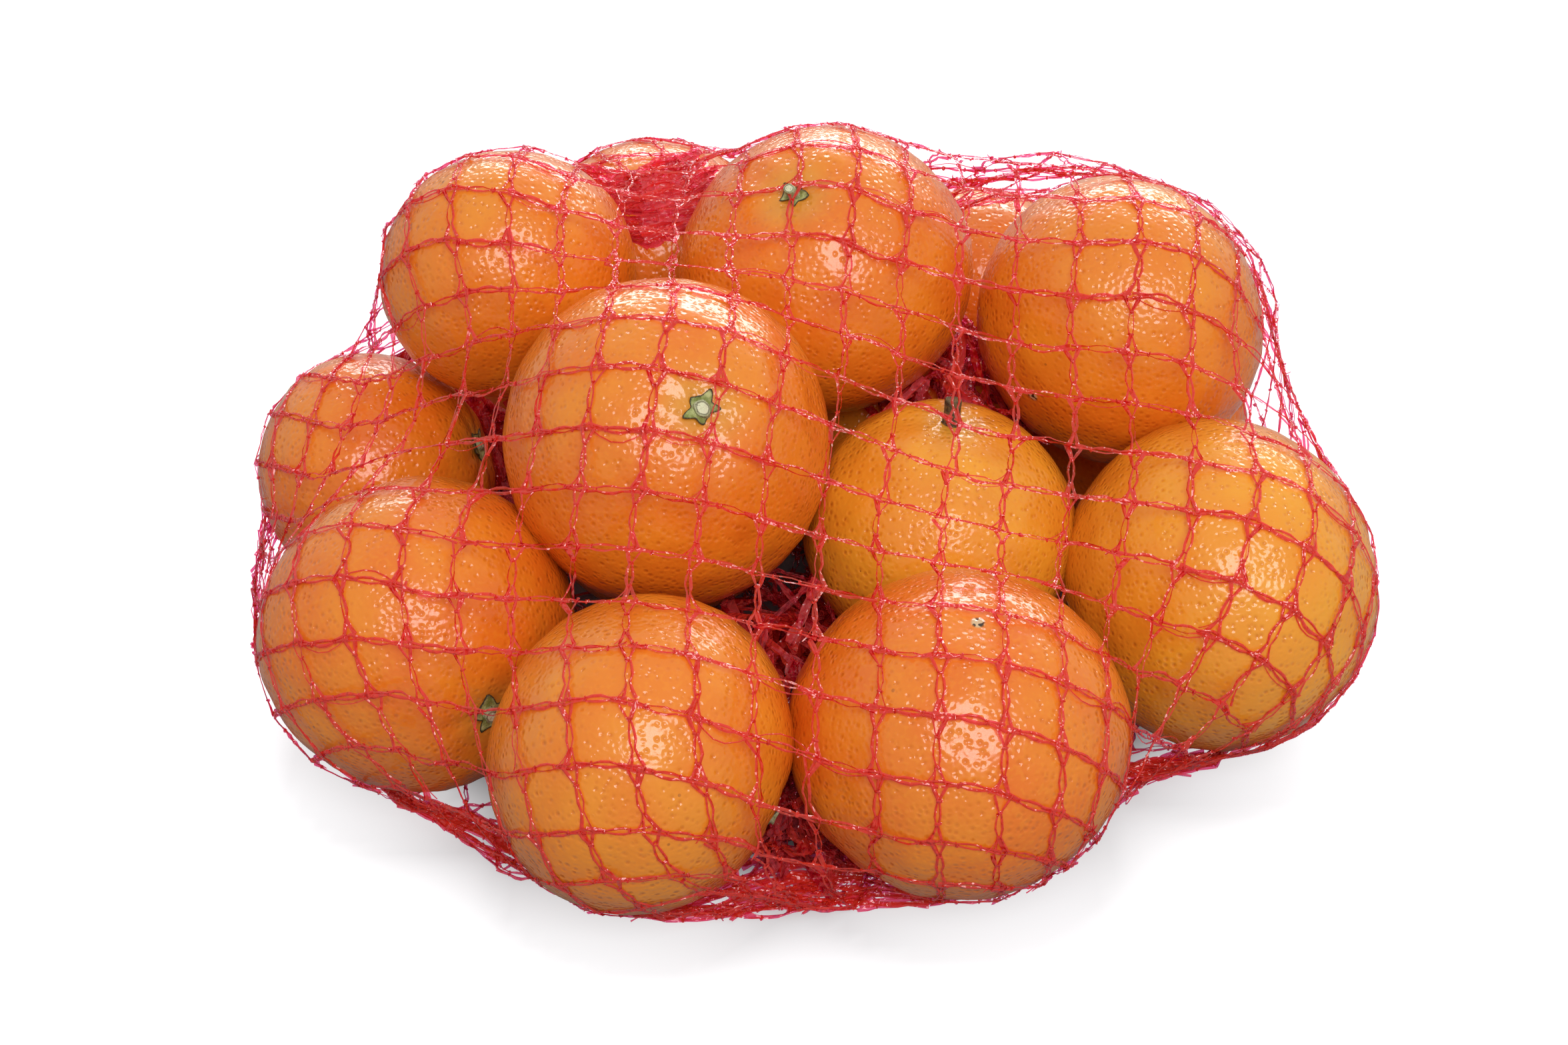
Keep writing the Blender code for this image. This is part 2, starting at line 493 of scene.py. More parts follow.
def stalkSurface(one, chance):
    # a stub carried along the stem direction: foot, slightly waisted side, rounded rim, cut top
    # that is a little hollow; the radius waves with the turn so that it isn't a true cylinder
    radius, height = one["stalk"]
    turn = turns(stemEnds["stalkColumns"])
    profile = np.array(stemEnds["stalkProfile"])
    out = profile[:, :1] * radius
    up = profile[:, 1:] * height + stemEnds["stalkFoot"]
    phase = chance.uniform(0, 2 * math.pi, 3)
    out = out * (1 + 0.08 * np.cos(2 * turn + phase[0]) + 0.04 * np.cos(5 * turn + phase[1] + up))
    lean = stemEnds["stalkLean"] * np.maximum(up, 0)
    local = np.stack([out * np.cos(turn) + lean * math.cos(phase[2]),
                      out * np.sin(turn) + lean * math.sin(phase[2]),
                      up + 0.06 * np.cos(3 * turn + phase[1])], axis=-1)
    foot = peelPoint(one, np.array([0.0, 0.0, 1.0]))
    cut = np.array(stemEnds["cutShare"])[:, None] + 0 * turn
    return (foot + local @ one["axes"].T)[::-1], cut[::-1]


def makeStarMaterial():
    # two greens by a broad noise, dry specks, and a dark edge made uneven by a fine noise
    material, tree, shader = startMaterial("calyx")
    spot = objectSpot(tree)
    rim = pointValue(tree, "share")
    broad = noise(tree, spot, 500.0, 3.0)
    fine = noise(tree, spot, 2600.0, 2.0)
    colour = mixColours(tree, spread(tree, broad, 0.36, 0.64), *stemEnds["green"])
    dry = mathNode(tree, "MULTIPLY", specks(tree, spot, 900.0, 0.5, 0.22), 0.7)
    colour = mixColours(tree, dry, colour, stemEnds["dryGreen"])
    edge = spread(tree, mathNode(tree, "MULTIPLY_ADD", fine, 0.3, rim), 0.72, 1.05)
    colour = mixColours(tree, edge, colour, stemEnds["starRim"])
    roughness = spread(tree, fine, 0.2, 0.8, 0.45, 0.75)
    rough = bumpNormal(tree, fine, 0.00025)
    fillNode(tree, shader, {"Base Color": colour, "Roughness": roughness, "Normal": rough})
    return material


def makeStalkMaterial():
    # fresh green or old brown wood, each of two tones by a broad noise; on the fresh cut a pale
    # middle with a thin dark line round it, and a few dark dots
    material, tree, shader = startMaterial("stalk")
    spot = objectSpot(tree)
    broad = noise(tree, spot, 900.0, 3.0)
    fine = noise(tree, spot, 3800.0, 2.0)
    brown = pointValue(tree, "brown")
    cut = pointValue(tree, "share")
    tones = spread(tree, broad, 0.35, 0.65)
    fresh = mixColours(tree, tones, *stemEnds["freshStalk"])
    old = mixColours(tree, tones, *stemEnds["oldStalk"])
    colour = mixColours(tree, brown, fresh, old)
    cream = mathNode(tree, "MULTIPLY", spread(tree, cut, 0.30, 0.45), mathNode(tree, "SUBTRACT", 1.0, brown))
    colour = mixColours(tree, cream, colour, stemEnds["cutMiddle"])
    line = mathNode(tree, "ABSOLUTE", mathNode(tree, "SUBTRACT", cut, 0.42))
    colour = mixColours(tree, spread(tree, line, 0.03, 0.12, 0.75, 0.0), colour, stemEnds["cutLine"])
    dry = mathNode(tree, "MULTIPLY", specks(tree, spot, 2200.0, 0.5, 0.25), 0.6)
    colour = mixColours(tree, dry, colour, stemEnds["dryStalk"])
    roughness = spread(tree, fine, 0.2, 0.8, 0.5, 0.85)
    rough = bumpNormal(tree, fine, 0.0003)
    fillNode(tree, shader, {"Base Color": colour, "Roughness": roughness, "Normal": rough})
    return material


def withTips(values, first, last):
    # one number a point, for closeRings: the two end points come last
    return np.concatenate([values.ravel(), [first, last]])


def makeStemEnds():
    # all stars as one mesh and all stalks as another
    chance = np.random.default_rng(stemEnds["seed"])
    stars, stalks, rims, cuts, brown = [], [], [], [], []
    for name, one in mandarins.items():
        points, share = starSurface(one, chance)
        stars.append(closeRings(points))
        rims.append(withTips(share, 0.0, 0.0))
        points, cut = stalkSurface(one, chance)
        stalks.append(closeRings(points))
        cuts.append(withTips(cut, 1.0, 0.0))
        brown.append(np.full(len(cuts[-1]), float(name in stemEnds["brownStalks"])))
    makePiece("calyxes", "stem", makeStarMaterial(), *joinSurfaces(stars),
              values={"share": np.concatenate(rims)})
    makePiece("stalks", "stem", makeStalkMaterial(), *joinSurfaces(stalks),
              values={"brown": np.concatenate(brown), "share": np.concatenate(cuts)})


makeStemEnds()
print("stem ends made")


# The net: a tube of slanting meshes, gathered behind the heap and under it.

net = dict(
    side=12.0,  # one side of a mesh
    around=44,  # meshes round the tube
    rows=37,
    gatherBehind=(-86, 68, 50),
    gatherUnder=(44, -61, 1),
    gatherRadius=5.0,
    startMiddle=(0, 0, 45),
    startRadii=(150, 155, 95),
    gap=0.7,  # kept from the peel
    floorGap=0.5,  # kept from the table
    steps=400,
    passes=6,  # length corrections in each step
    weight=0.12,  # fall of a free knot in each step
    shortest=0.9,  # a side shorter than this part of its length pushes its knots apart
    push=0.06,
    draw=0.14,  # pull of the slack in under the heap, near the table
    drawFull=4.0,  # the pull is full up to this height and fades over the next
    drawFade=14.0,
    fruitReach=7.0,  # how far a fruit, and the table, turn a knot's outward direction
    tableReach=3.0,
    # the four pieces that the drawn net is made as, each with its first row
    pieces={"netBehind": 0, "netOver": 10, "netFront": 18, "netUnder": 27},
    firstSeed=50,
)

# where the net's own stiffness holds it off the fruit: middle and radii
standOff = [
    ((62, 48, 56), (48, 34, 34)),
    ((52, 24, 78), (34, 16, 29)),
]


def latticePlaces(rows, wide):
    # row numbers and places in the row; every other row is moved on by half a place
    row = np.arange(rows)[:, None]
    return row, np.arange(wide)[None, :] + 0.5 * (row % 2)


def latticeSides(rows, around):
    # numbered knots (row, place in the row): every knot has a side to two knots of the next row.
    # Returns the four groups of sides in which no knot is used twice, and which way they slant.
    knots = np.arange(rows * around).reshape(rows, around)
    groups, slants = [], []
    for parity in (0, 1):
        upper = knots[parity:-1:2]
        lower = knots[parity + 1::2]
        toRight = lower if parity == 0 else np.roll(lower, -1, axis=1)
        toLeft = np.roll(lower, 1, axis=1) if parity == 0 else lower
        for slant, other in ((0, toRight), (1, toLeft)):
            groups.append(np.stack([upper, other], axis=-1).reshape(-1, 2))
            slants.append(slant)
    return knots, groups, slants


def joinSides(groups, slants):
    # the groups as one list, with the slant of each side
    slant = np.concatenate([np.full(len(ends), way) for ends, way in zip(groups, slants)])
    return np.concatenate(groups), slant


def ballShape(middle, axes, radii):
    # middle, the matrix that makes the ball from a round one, and its inverse
    stretch = axes @ np.diag(radii) @ axes.T
    return np.array(middle, float), stretch, np.linalg.inv(stretch)


def keepOff(points, shapes, floor):
    # a point inside one of the balls moves straight out from its middle to its surface, and none
    # stays under the floor
    for centre, stretch, shrink in shapes:
        scaled = (points - centre) @ shrink
        reach = np.linalg.norm(scaled, axis=1)
        sunk = reach < 1
        points[sunk] = centre + (scaled[sunk] / reach[sunk, None]) @ stretch
    points[:, 2] = np.maximum(points[:, 2], floor)


def startShell(behind, under):
    # a wide ball from one gather to the other, a ring of knots for each row of the tube
    rows, around = net["rows"], net["around"]
    along = (behind - under) / np.linalg.norm(behind - under)
    up = np.array([0, 0, 1.0]) - along * along[2]
    up /= np.linalg.norm(up)
    across = np.cross(along, up)
    row, place = latticePlaces(rows, around)
    turn = 2 * math.pi * place / around
    tilt = math.pi * (row + 0.6) / (rows + 0.2) + 0 * turn
    ball = (np.cos(tilt)[..., None] * along
            + np.sin(tilt)[..., None] * (np.cos(turn)[..., None] * up + np.sin(turn)[..., None] * across))
    return (np.array(net["startMiddle"], float) + ball * np.array(net["startRadii"], float)).reshape(-1, 3)


def drapeNet():
    # the tube starts as a wide shell; each step lets it fall, draws in the slack, shortens every
    # side that is too long, keeps off the fruit and the table
    side, shortest = net["side"], net["shortest"] * net["side"]
    behind, under = np.array(net["gatherBehind"], float), np.array(net["gatherUnder"], float)
    knots, groups, slants = latticeSides(net["rows"], net["around"])
    points = startShell(behind, under)
    shapes = [ballShape(one["centre"], one["axes"], one["radii"] + net["gap"]) for one in mandarins.values()]
    shapes += [ballShape(middle, np.eye(3), radii) for middle, radii in standOff]
    for _ in range(net["steps"]):
        points[:, 2] -= net["weight"]
        low = (net["drawFade"] + net["drawFull"] - points[:, 2]) / net["drawFade"]
        low = np.clip(low, 0, 1) * net["draw"]
        reach = np.linalg.norm(points[:, :2], axis=1) + 1e-6
        points[:, :2] -= points[:, :2] / reach[:, None] * low[:, None]
        for _ in range(net["passes"]):
            for ends in groups:
                apart = points[ends[:, 1]] - points[ends[:, 0]]
                length = np.linalg.norm(apart, axis=1) + tiny
                slack = np.where(length < shortest, (length - shortest) * net["push"], 0.0)
                change = np.where(length > side, (length - side) / 2, slack)
                move = apart / length[:, None] * change[:, None]
                points[ends[:, 0]] += move
                points[ends[:, 1]] -= move
            for ring, gather in ((knots[0], behind), (knots[-1], under)):
                away = points[ring] - gather
                length = np.linalg.norm(away, axis=1) + tiny
                points[ring] -= away * (np.maximum(length - net["gatherRadius"], 0) / length / 2)[:, None]
            keepOff(points, shapes, net["floorGap"])
    return points, groups, slants


def outwards(points):
    # for each point the direction away from the fruit near it, and up where the table is near
    total = np.zeros_like(points)
    for one in mandarins.values():
        away = points - one["centre"]
        length = np.linalg.norm(away, axis=1)
        near = np.exp(-np.maximum(length - one["size"] / 2, 0) / net["fruitReach"])
        total += away / length[:, None] * near[:, None]
    total[:, 2] += np.exp(-points[:, 2] / net["tableReach"])
    return unit(total)


# The net's thread is flat film tape. Each side of a mesh is two tapes, its legs, that meet at two
# knots; wider tapes cross between them, and short turns of tape hold the knots. A pair is the
# lowest and the highest that chance gives; what chance changes is a part of the usual.
tape = dict(
    ridge=0.16,  # height of the ridge along a tape's middle
    # at eight stops along a side: half the distance between the legs, and half a leg's width. A
    # column's side is a V, then a loop, then fans out; a row's side stays narrow.
    columnSpread=(1.60, 0.90, 0.22, 0.50, 0.64, 0.28, 0.70, 1.30),
    columnWidth=(0.46, 0.48, 0.28, 0.34, 0.36, 0.28, 0.42, 0.50),
    rowSpread=(0.50, 0.34, 0.20, 0.52, 0.58, 0.24, 0.34, 0.52),
    rowWidth=(0.48, 0.40, 0.28, 0.42, 0.42, 0.28, 0.38, 0.46),
    knots=(2, 5),  # the stops with a knot
    secondKnot=0.55,  # how many sides have the second knot too
    bow=0.45,  # how far a whole side bends aside
    offPeel=0.18,  # kept from the peel along the middle, and at the corners
    cornerOffPeel=0.05,
    legUneven=(0.7, 1.25),
    legAside=0.12,
    slip=0.02,  # along the side, as a part of it
    legLift=(0.22, 0.10, 0.15),  # off the net's surface: usual, by chance, more in the middle
    twist=24.0,  # degrees, at either end of a leg
    flips=0.15,  # how many legs turn over once
    webWidth=0.60,
    webUneven=(0.55, 1.3),
    webReach=(0.3, 1.0),  # of the way to the legs' ends
    webPast=-0.6,  # where it ends beside the knot
    webLift=(0.12, 0.08),
    webTwist=(22, 18),
    webShare=(0.55, 0.70),  # how many sides have a crossing tape: rows, columns
    knotRadius=(0.52, 0.32),
    knotUneven=(0.8, 1.2),
    knotSlip=0.04,
    knotLift=0.3,
    knotTwist=0.35,
    knotWidth=0.21,
    knotWidths=(0.7, 1.4),
    threadShare=(0.20, 0.60),  # how many sides have a thin loose thread: rows, columns
    threadReach=2.3,
    threadUneven=(0.6, 1.25),
    threadStart=(0.70, 0.3),  # where a column's thread leaves it: along, and aside
    threadLift=0.3,
    threadTwist=0.7,
    threadWidth=0.12,
    threadWidths=(0.8, 1.5),
)

# the tape where the net lies open, where it is pressed together and where it is folded: distance
# between the legs, width, and how many crossing tapes and loose threads there are, each as a part
# of the usual; and the tones, from 0, deep red, to 1, light and clear, and 2, pink. The pressed and
# the folded tape get lighter, pinker tones than the open tape: painted light for the light and the
# glints that their layers lack
openLie = dict(spread=1.0, width=0.76, web=0.9, thread=1.0, tones=(0.0, 1.0))
pressedLie = dict(spread=0.35, width=1.1, web=0.4, thread=0.0, tones=(0.2, 1.1))
foldedLie = dict(spread=0.5, width=2.3, web=1.0, thread=0.0, tones=(0.8, 1.7))


def tapeFrame(path, normal, twist):
    # the tape's width direction: flat on the fruit and standing up, both square to the path,
    # mixed by the twist
    tangent = unit(np.gradient(path, axis=1))
    flat = unit(np.cross(normal[:, None, :] + 0 * path, tangent))
    rise = np.cross(tangent, flat)
    return tangent, flat * np.cos(twist)[..., None] + rise * np.sin(twist)[..., None]


def tapeCorners(path, width, tangent, half):
    # three corners round each point of the path: the two edges and a low ridge between them
    ridge = np.cross(tangent, width) * tape["ridge"]
    reach = width * half[..., None]
    return np.stack([path + reach, path + ridge, path - reach], axis=2)


def tapeFaces(count, stops):
    # three quads between one stop and the next and a triangle at either end, for every tape
    corner = np.arange(3)
    beside = (corner + 1) % 3
    stop = np.arange(stops - 1)[:, None] * 3
    body = np.stack([stop + corner, stop + beside, stop + 3 + beside, stop + 3 + corner], axis=-1)
    last = (stops - 1) * 3
    ends = np.array([[2, 1, 0], [last, last + 1, last + 2]])
    every = np.arange(count)[:, None, None] * stops * 3
    return (every + body.reshape(-1, 4)).reshape(-1, 4), (every + ends).reshape(-1, 3)


def carryTape(path, normal, twist, half, tones, chance):
    # a tape along each path, with its length and its width as UV and one tone for the whole of it:
    # at random, and raised as painted light where the net is pressed or folded
    tangent, width = tapeFrame(path, normal, twist)
    corners = tapeCorners(path, width, tangent, half)
    count, stops = path.shape[:2]
    steps = np.linalg.norm(np.diff(path, axis=1, prepend=path[:, :1]), axis=2).cumsum(axis=1)
    along = np.repeat(steps[..., None], 3, axis=2)
    over = np.broadcast_to(np.array([1.0, 0.5, 0.0]), along.shape)
    toneAndPaintedLight = np.broadcast_to(chance.uniform(*tones, count)[:, None, None], along.shape)
    quads, triangles = tapeFaces(count, stops)
    return dict(points=corners.reshape(-1, 3), quads=quads, triangles=triangles, toneAndPaintedLight=toneAndPaintedLight.ravel(),
                uv=np.stack([along.ravel(), over.ravel()], axis=1))


def sideTapes(start, end, normal, slant, chance, lie):
    # every tape of the sides that run from start to end; lie is one of the three above
    count = len(start)
    run = end - start
    sideways = unit(np.cross(normal, run))
    isRow = (slant == 0)[:, None]
    apart = np.where(isRow, tape["rowSpread"], tape["columnSpread"]) * lie["spread"]
    widths = np.where(isRow, tape["rowWidth"], tape["columnWidth"]) * lie["width"]
    stops = apart.shape[1]
    share = np.linspace(0, 1, stops)[None, :]
    bow = chance.normal(0, tape["bow"], (count, 1))
    made = []

    def carry(mask, t, aside, lift, twist, half, standing=None):
        # tapes along the chosen sides: t along the side, aside across it, lift off the fruit
        reach = aside + bow[mask] * np.sin(math.pi * np.clip(t, 0, 1))
        path = (start[mask, None] + run[mask, None] * t[..., None]
                + sideways[mask, None] * reach[..., None] + normal[mask, None] * lift[..., None])
        path = pushOffPeel(path.reshape(-1, 3), tape["offPeel"]).reshape(path.shape)
        facing = normal[mask] if standing is None else standing[mask]
        made.append(carryTape(path, facing, twist, half, lie["tones"], chance))

    # the two legs
    every = np.full(count, True)
    middle = np.sin(math.pi * share)
    usualLift, chanceLift, middleLift = tape["legLift"]
    for hand in (1, -1):
        atStart = chance.uniform(*tape["legUneven"], (count, 1)) * (1 - share)
        uneven = atStart + chance.uniform(*tape["legUneven"], (count, 1)) * share
        aside = hand * apart * uneven + chance.normal(0, tape["legAside"], (count, 1)) * middle
        t = share + chance.normal(0, tape["slip"], (count, 1))
        lift = usualLift + chance.normal(0, chanceLift, (count, stops)) + middleLift * middle
        turned = np.radians(chance.normal(0, tape["twist"], (count, 2)))
        over = np.where(chance.uniform(0, 1, (count, 1)) < tape["flips"], math.pi, 0.0)
        twist = turned[:, :1] + (turned[:, 1:] + over - turned[:, :1]) * share
        carry(every, t, aside, lift, twist, widths * chance.uniform(*tape["legUneven"], (count, 1)))

    # a wide tape from each knot to one leg's end
    u = np.linspace(0, 1, 4)[None, :]
    webShare = np.where(isRow[:, 0], *tape["webShare"]) * lie["web"]
    for knot, first in zip(tape["knots"], (True, False)):
        some = chance.uniform(0, 1, count) < webShare
        picked = int(some.sum())
        hand = np.where(chance.uniform(0, 1, (picked, 1)) < 0.5, 1.0, -1.0)
        far = apart[some][:, :1] if first else apart[some][:, -1:]
        near = tape["webPast"] * apart[some][:, knot:knot + 1]
        far = far * chance.uniform(*tape["webReach"], (picked, 1))
        aside = hand * (far + (near - far) * (u if first else 1 - u))
        t = share[0, knot] * u * 1.1 if first else share[0, knot] + (1.02 - share[0, knot]) * u
        lift = tape["webLift"][0] + chance.normal(0, tape["webLift"][1], (picked, 4))
        twist = [chance.normal(0, most, (picked, 1)) for most in tape["webTwist"]]
        half = tape["webWidth"] * chance.uniform(*tape["webUneven"], (picked, 1))
        half = half * (0.65 + 0.35 * np.sin(math.pi * u)) * lie["width"]
        carry(some, t + 0 * aside, aside, lift, np.radians(twist[0] + twist[1] * u), half)

    # a turn of tape round the two legs at each knot
    along = run / np.linalg.norm(run, axis=1)[:, None]
    wide, high = tape["knotRadius"]
    for knot, first in zip(tape["knots"], (True, False)):
        some = every if first else chance.uniform(0, 1, count) < tape["secondKnot"]
        picked = int(some.sum())
        turn = np.linspace(0, 2 * math.pi, 6)[None, :] + chance.uniform(0, 2 * math.pi, (picked, 1))
        slip = chance.normal(0, tape["slip"], (picked, 1))
        slip = slip + chance.uniform(-tape["knotSlip"], tape["knotSlip"], (picked, 1)) * np.cos(turn / 2)
        aside = wide * np.cos(turn) * chance.uniform(*tape["knotUneven"], (picked, 1))
        twist = math.pi / 2 + chance.normal(0, tape["knotTwist"], (picked, 1)) + 0 * turn
        half = tape["knotWidth"] * chance.uniform(*tape["knotWidths"], (picked, 1)) + 0 * turn
        lift = tape["knotLift"] + high * np.sin(turn)
        carry(some, share[0, knot] + slip, aside, lift, twist, half, along)

    # a thin loose thread: from a column's lower knot out to the row beside it, or a row's sag
    u = np.linspace(0, 1, 6)[None, :]
    some = chance.uniform(0, 1, count) < np.where(isRow[:, 0], *tape["threadShare"]) * lie["thread"]
    picked = int(some.sum())
    leaves, off = tape["threadStart"]
    reach = tape["threadReach"] * chance.uniform(*tape["threadUneven"], (picked, 1))
    fan = -off - reach * u ** 1.8
    sag = reach * np.sin(math.pi * u) * np.where(chance.uniform(0, 1, (picked, 1)) < 0.5, 1.0, -1.0)
    aside = np.where(isRow[some], sag, fan)
    t = np.where(isRow[some], u, leaves + (1 - leaves) * u)
    half = tape["threadWidth"] * chance.uniform(*tape["threadWidths"], (picked, 1)) + 0 * u
    twist = chance.normal(0, tape["threadTwist"], (picked, 1)) + 0 * u
    carry(some, t, aside, tape["threadLift"] + 0 * aside, twist, half)
    return made


filmLook = dict(
    deep=(0.77, 0.032, 0.009),  # tone 0
    light=(0.88, 0.075, 0.036),  # tone 1
    # painted light: the lighter, pinker film of the pressed and folded net
    paintedLightPink=(0.93, 0.24, 0.30),  # tone 2
    rim=(0.62, 0.014, 0.010),
    rimShare=0.5,
    creases=900.0,  # how fine the creases are
    creaseDepth=0.0006,
    specular=0.7,
    gloss=1.0,
    glossRoughness=0.09,
    seenThrough=(0.92, 0.14, 0.40),
    shadow=(0.60, 0.14, 0.22),
    clear=0.34,  # how much light goes through at tone 0
    clearByTone=0.24,
    clearAtRim=-0.25,
)


def makeFilmMaterial():
    # thin red film: part of the light goes through it, and goes through redder
    material, tree, shader = startMaterial("redFilm")
    toneAndPaintedLight = pointValue(tree, "toneAndPaintedLight")
    crease = noise(tree, objectSpot(tree), filmLook["creases"])
    surface = addNode(tree, "UVMap", uv_map="surface").outputs["UV"]
    over = addNode(tree, "SeparateXYZ", {"Vector": surface}).outputs["Y"]
    fromMiddle = mathNode(tree, "ABSOLUTE", mathNode(tree, "MULTIPLY_ADD", over, 2.0, -1.0))
    rim = spread(tree, fromMiddle, 0.55, 1.0)
    # the tone is random, and raised as painted light on pressed and folded tape: lighter, and above 1 pinker
    colour = mixColours(tree, toneAndPaintedLight, filmLook["deep"], filmLook["light"])
    colour = mixColours(tree, mathNode(tree, "SUBTRACT", toneAndPaintedLight, 1.0), colour, filmLook["paintedLightPink"])
    colour = mixColours(tree, mathNode(tree, "MULTIPLY", rim, filmLook["rimShare"]), colour, filmLook["rim"])
    creased = bumpNormal(tree, crease, filmLook["creaseDepth"])
    fillNode(tree, shader, {
        "Base Color": colour,
        "Roughness": spread(tree, crease, 0.3, 0.7, 0.06, 0.24),
        "Specular IOR Level": filmLook["specular"],
        "Coat Weight": filmLook["gloss"],
        "Coat Roughness": filmLook["glossRoughness"],
        "Normal": creased,
        "Coat Normal": creased,
    })
    # a shadow ray only sees tinted clear film, and the far side of a tape adds nothing
    shade = addNode(tree, "LightPath").outputs["Is Shadow Ray"]
    far = addNode(tree, "NewGeometry").outputs["Backfacing"]
    tint = mixColours(tree, shade, filmLook["seenThrough"], filmLook["shadow"])
    tint = mixColours(tree, far, tint, (1.0, 1.0, 1.0))
    through = addNode(tree, "BsdfTransparent", {"Color": tint})
    clear = mathNode(tree, "MULTIPLY_ADD", toneAndPaintedLight, filmLook["clearByTone"], filmLook["clear"])
    clear = mathNode(tree, "MULTIPLY_ADD", rim, filmLook["clearAtRim"], clear)
    clear = mathNode(tree, "MAXIMUM", clear, mathNode(tree, "MAXIMUM", shade, far))
    blend = addNode(tree, "MixShader", {0: clear, 1: shader.outputs[0], 2: through.outputs[0]})
    tree.links.new(blend.outputs[0], tree.nodes["Material Output"].inputs["Surface"])
    return material


def makeTapePiece(name, material, made, shadow=True):
    # all tapes as one mesh, kept just off the peel and the table
    surfaces = [(one["points"], one["quads"], one["triangles"]) for one in made]
    points, quads, triangles = joinSurfaces(surfaces)
    points = pushOffPeel(points, tape["cornerOffPeel"])
    points[:, 2] = np.maximum(points[:, 2], tape["cornerOffPeel"])
    toneAndPaintedLight = np.concatenate([one["toneAndPaintedLight"] for one in made])
    uv = np.vstack([one["uv"] for one in made])
    piece = makePiece(name, "net", material, points, quads, triangles, False, {"toneAndPaintedLight": toneAndPaintedLight}, uv)
    piece.visible_shadow = shadow
    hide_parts("filled_net")
    print(name, len(quads) * 2 + len(triangles), "triangles")


def tapesBetween(points, ends, slant, chance, lie):
    # the tapes of the sides whose two knots are the numbered points in ends
    normal = outwards(points)
    facing = unit(normal[ends[:, 0]] + normal[ends[:, 1]])
    return sideTapes(points[ends[:, 0]], points[ends[:, 1]], facing, slant, chance, lie)


foldGap = 0.6  # what every folded part of the net keeps from the peel


def foldTapes(points, long, wide, floor, chance, lie):
    # the tapes of an open part of the net whose knots lie in long + 1 rows of wide
    points[:, 2] = np.maximum(points[:, 2], floor)
    ends, slant = joinSides(*latticeSides(long + 1, wide)[1:])
    beside = np.abs(ends[:, 0] % wide - ends[:, 1] % wide) < 2
    return tapesBetween(pushOffPeel(points, foldGap), ends[beside], slant[beside], chance, lie)


# the gathered end, folded in over the back top fruit, under the drawn net
tucked = dict(
    over="backTop",
    heading=(-150, -38),  # degrees round that fruit
    climb=(34, 66),
    rise=14.0,  # how much higher the folds climb to the right
    meshes=(4, 9),  # along and across the folds
    layers=3,
    layerGap=1.3,
    lowest=1.0,  # the first layer, off the fruit
    jitter=(0.9, 0.45, 0.72),
    seed=77,
)

# lumps of crumpled net in the gaps between the fruit; the second and the third are also painted
# shade: net put in gaps where there is only shade between the fruit, to keep them dark
crumpled = dict(
    lumps=(((-3, -50, 22), (22, 24, 13)),  # middle and reach
           ((34, 21, 51), (17, 23, 9)),
           ((-70, 24, 28), (11, 14, 12)),
           ((0, -84, 9), (9, 9, 8))),
    meshes=(5, 8),
    layers=3,
    layerDrop=0.5,  # from one layer to the next, as a part of the lump's height
    jitter=3.5,
    floor=0.6,
    seed=79,
)

# the slack that lies bunched on the table, along the feet of the front fruit
bunched = dict(
    feet=("left", "frontLeft", "front", "frontRight", "right", "underRight"),
    reach=13.0,  # outside the feet
    dips=(0.0, 3.0, 8.0, 13.0, 0.0),  # how far the band goes in between one foot and the next
    footWidth=1.5,  # half its width at the feet
    gapWidths=(1.0, 3.8, 8.0, 2.4, 0.6),
    stretch=(0.1, 0.9, 7),  # the part between two feet that has points, and how many
    finer=8,  # steps of the line for each mesh along it
    smoothing=15,  # steps that one point of the line is the mean of
    meshes=(27, 7),  # along and across
    lift=(0.5, 2.6),  # height at the outer and the inner edge
    fullLift=3.0,  # where the band is narrower than this, it lies lower
    jitter=(0.3, 0.3, 0.18),
    floor=0.4,
    seed=78,
)


def tuckedTapes():
    # layers of meshes pulled long round the fruit and pressed together across
    chance = np.random.default_rng(tucked["seed"])
    one = mandarins[tucked["over"]]
    long, wide = tucked["meshes"]
    row, place = latticePlaces(long + 1, wide)
    made = []
    for layer in range(tucked["layers"]):
        heading = np.radians(np.interp(row / long, (0, 1), tucked["heading"]) + 0 * place)
        climb = np.interp(place / wide, (0, 1), tucked["climb"]) + (row / long - 0.5) * tucked["rise"]
        climb = np.radians(climb)
        out = one["size"] / 2 + tucked["lowest"] + layer * tucked["layerGap"]
        flat = np.cos(climb)
        way = np.stack([flat * np.cos(heading), flat * np.sin(heading), np.sin(climb)], axis=-1)
        points = (one["centre"] + out * way).reshape(-1, 3)
        points += chance.normal(0, 1, points.shape) * tucked["jitter"]
        made += foldTapes(points, long, wide, 0.0, chance, foldedLie)
    return made


def crumpledTapes():
    # layers of meshes over a low dome, knocked about and kept off the fruit
    chance = np.random.default_rng(crumpled["seed"])
    long, wide = crumpled["meshes"]
    row, place = latticePlaces(long + 1, wide)
    across = place / (wide - 0.5) * 2 - 1
    along = row / long * 2 - 1 + 0 * across
    made = []
    for middle, reach in crumpled["lumps"]:
        for layer in range(crumpled["layers"]):
            dome = 1 - 0.5 * (across ** 2 + along ** 2) - crumpled["layerDrop"] * layer
            points = np.stack([across, along, dome], axis=-1).reshape(-1, 3) * reach + middle
            points += chance.normal(0, crumpled["jitter"], points.shape)
            made += foldTapes(points, long, wide, crumpled["floor"], chance, foldedLie)
    return made


